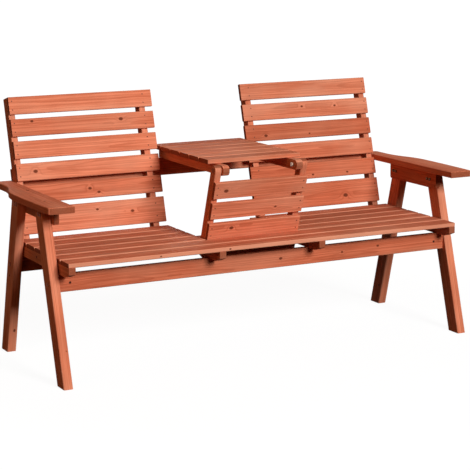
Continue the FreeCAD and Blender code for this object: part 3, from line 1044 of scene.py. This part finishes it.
SIDES = ("left", "right")
BACK_SPREAD, PANEL_SPREAD = 0.5, 0.45
for side in SIDES:
    posts = ["outer_post_" + side, "inner_post_" + side]
    slats = ["back_slat_%d_%s" % (row, side) for row in range(1, 7)]
    screws("back_screws_" + side, "bench_frame",
           crossings(slats, posts, back_lean, BACK_SPREAD), facing(back_lean))
    screws("rail_screws_" + side, "bench_frame",
           crossings(["back_rail"], posts, back_lean, BACK_SPREAD, -1), -facing(back_lean))
screws("panel_screws", "folding_panel",
       crossings(["panel_slat_%d" % row for row in range(1, 5)],
                 ["panel_upright_" + side for side in SIDES], panel_lean, PANEL_SPREAD),
       facing(panel_lean))

# %% [markdown]
# ### Screws from below
#
# The seat and the table are bare on top, so their screws go in from below, one at each
# crossing. A carrier's nose is cut back underneath, so a crossing there, or one at its very
# rear end, has no flat wood for a head and gets none.

# %% Screws under the seat and the table
SEAT_ROWS = ["seat_slat_2"] + ["seat_slat_%d_left" % row for row in range(3, 7)]
BEARER_NOSE, BATTEN_NOSE = 0.04, 0.032
REAR_MARGIN = 0.01


def from_below(carriers, slats, nose):
    """One place under each crossing, on the carrier's lower face, behind its nose."""
    for carrier in carriers:
        low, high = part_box(carrier)
        for slat in slats:
            spot = Vector((middle(carrier).x, middle(slat).y, low[2]))
            if low[1] + nose < spot.y < high[1] - REAR_MARGIN:
                yield spot


for kind in ("end", "middle"):
    bearers = ["%s_bearer_%s" % (kind, side) for side in SIDES]
    screws("seat_screws_" + kind, "bench_frame", from_below(bearers, SEAT_ROWS, BEARER_NOSE),
           -Z)
screws("table_screws", "table_top",
       from_below(["table_batten_" + side for side in SIDES],
                  ["table_slat_%d" % row for row in range(1, 7)], BATTEN_NOSE), -Z)

# %% [markdown]
# ## Barrel nuts
#
# Each bolt through a leg ends in a barrel nut that crosses the apron. Its slotted end shows
# as a dark spot on the apron's face, near the leg; its nearly black steel is painted shade
# for the hole it sits in. It is a flat head too, only wider and with a slot, so the same
# function draws it from other numbers.

# %% Show the ends of the barrel nuts
BARREL_RADIUS = 0.0048
BARREL_X = 0.726
SLOT_POINTS, SLOT_PULL = 12, (1.5,) + (0.4,) * 5
barrel_end = head_mesh("barrel_end", BARREL_RADIUS, SLOT_POINTS, SLOT_PULL)
barrel_z = Fastener(solids("apron_bolts")[0]).z
for node, out in (("front_apron", -Y), ("rear_apron", Y)):
    low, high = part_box(node)
    face_y = low[1] if out.y < 0 else high[1]
    screws(node + "_barrel_nuts", "bench_frame",
           [Vector((x, face_y, barrel_z)) for x in (-BARREL_X, BARREL_X)], out, barrel_end,
           painted_hole_shade)

# %% [markdown]
# ## Floor and surroundings
#
# The photograph is a product shot on pure white. A white floor and a white sky would give
# that, but they would also throw white light on faces that are deep brown in it. So both are
# white to the camera and in reflections alone. All other rays meet a dark brown floor and a
# weak warm glow. Near the bench a tenth of the floor is a real surface to the camera too,
# so that it takes the bench's shadow.

# %% Floor and world
FLOOR_HALF = 30
FLOOR_WHITE = shade(0.93, 0.93, 0.93)
FLOOR_BROWN = shade(0.035, 0.016, 0.008)
WHITE = shade(1, 1, 1)
GLOW_STRENGTH = 1.05
GLOW_SHARE = 0.90
GLOW_ALONE = (1.0, 2.4)
SOFT_COLOUR = shade(1.0, 0.56, 0.28)
SOFT_STRENGTH = 0.010


def seen_rays(shader):
    """1 for rays from the camera and for reflected or refracted ones."""
    camera_ray, glossy_ray, glass_ray = (
        shader.node("ShaderNodeLightPath", out=name) for name in (
            "Is Camera Ray", "Is Glossy Ray", "Is Transmission Ray"))
    return shader.math("MAXIMUM", shader.math("MAXIMUM", camera_ray, glossy_ray), glass_ray)


def floor_material():
    """White to the camera, dark brown to the light that comes back from it."""
    make = Shader(bpy.data.materials.new("pale_floor"))
    seen = seen_rays(make)
    paint = make.mix(seen, FLOOR_BROWN, FLOOR_WHITE)
    matt = make.node("ShaderNodeBsdfDiffuse", {"Color": paint})
    glow = make.node("ShaderNodeEmission", {"Color": WHITE, "Strength": GLOW_STRENGTH})
    place = make.node("ShaderNodeTexCoord", out="Object")
    away = make.node("ShaderNodeVectorMath", {0: place}, out="Value", operation="LENGTH")
    share = make.step(away, *GLOW_ALONE) * (1 - GLOW_SHARE) + GLOW_SHARE
    return make.end(make.node("ShaderNodeMixShader", {0: seen * share, 1: matt, 2: glow}))


shape = bmesh.new()
bmesh.ops.create_grid(shape, x_segments=1, y_segments=1, size=FLOOR_HALF)
floor_mesh = bpy.data.meshes.new("floor")
shape.to_mesh(floor_mesh)
shape.free()
floor_mesh.materials.append(floor_material())
floor = bpy.data.objects.new("floor", floor_mesh)
bpy.context.scene.collection.objects.link(floor)

world = bpy.data.worlds.new("studio")
bpy.context.scene.world = world
sky = Shader(world)
around = sky.node("ShaderNodeBackground", {"Color": SOFT_COLOUR, "Strength": SOFT_STRENGTH})
white = sky.node("ShaderNodeBackground", {"Color": WHITE, "Strength": 1.0})
sky.end(sky.node("ShaderNodeMixShader", {0: seen_rays(sky), 1: around, 2: white}),
        "ShaderNodeOutputWorld")
print("floor and world ready")

# %% [markdown]
# ## Lights
#
# In the photograph the fronts are bright, the tops have about half of that, and the faces
# that look left are deep brown. One large lamp can't give all three, so four square ones do.
# The key stands in front, a little to the right and about twenty-five degrees up. A weak
# warm lamp on the left reaches the left faces. A soft one above and behind lifts the tops,
# and a low one behind, which the photograph's view hardly sees, lights the rear for anyone
# who looks from there. Each has a level: at a level of 1 a face turned to the lamp comes out
# as its colour is written, and the power follows from that and the distance.

# %% Place the lamps
AIM = Vector((0, 0, 0.45))
LAMPS = (
    ("front_key", Vector((0.11, -0.91, 0.41)), 9.0, 2.4, 0.99, (1.0, 1.0, 1.0)),
    ("left_fill", Vector((-0.80, -0.28, 0.42)), 3.4, 1.6, 0.116, (1.0, 0.50, 0.21)),
    ("top_soft", Vector((0.25, 0.72, 0.64)), 5.5, 3.5, 0.14, (1.0, 0.82, 0.66)),
    ("rear_low", Vector((0.20, 0.97, 0.10)), 6.0, 3.0, 0.32, (1.0, 0.92, 0.85)),
)


def area_light(name, place, size, power, tint):
    """A square soft light that faces the bench and is hidden from the camera."""
    data = bpy.data.lights.new(name, "AREA")
    data.shape = "SQUARE"
    data.size = size
    data.energy = power
    data.color = tint
    lamp = bpy.data.objects.new(name, data)
    lamp.visible_camera = False
    facing_aim = (AIM - place).to_track_quat("-Z", "Y").to_matrix().to_4x4()
    lamp.matrix_world = Matrix.Translation(place) @ facing_aim
    bpy.context.scene.collection.objects.link(lamp)


for name, towards, distance, size, level, tint in LAMPS:
    power = level * pi ** 2 * distance ** 2
    area_light(name, AIM + towards.normalized() * distance, size, power, tint)
    print(name, round(power), "watts")

# %% [markdown]
# ## The view transform
#
# The picture is rendered with the Standard view transform, which leaves its colours as they
# are.

# %% Set the view transform
bpy.context.scene.view_settings.view_transform = "Standard"
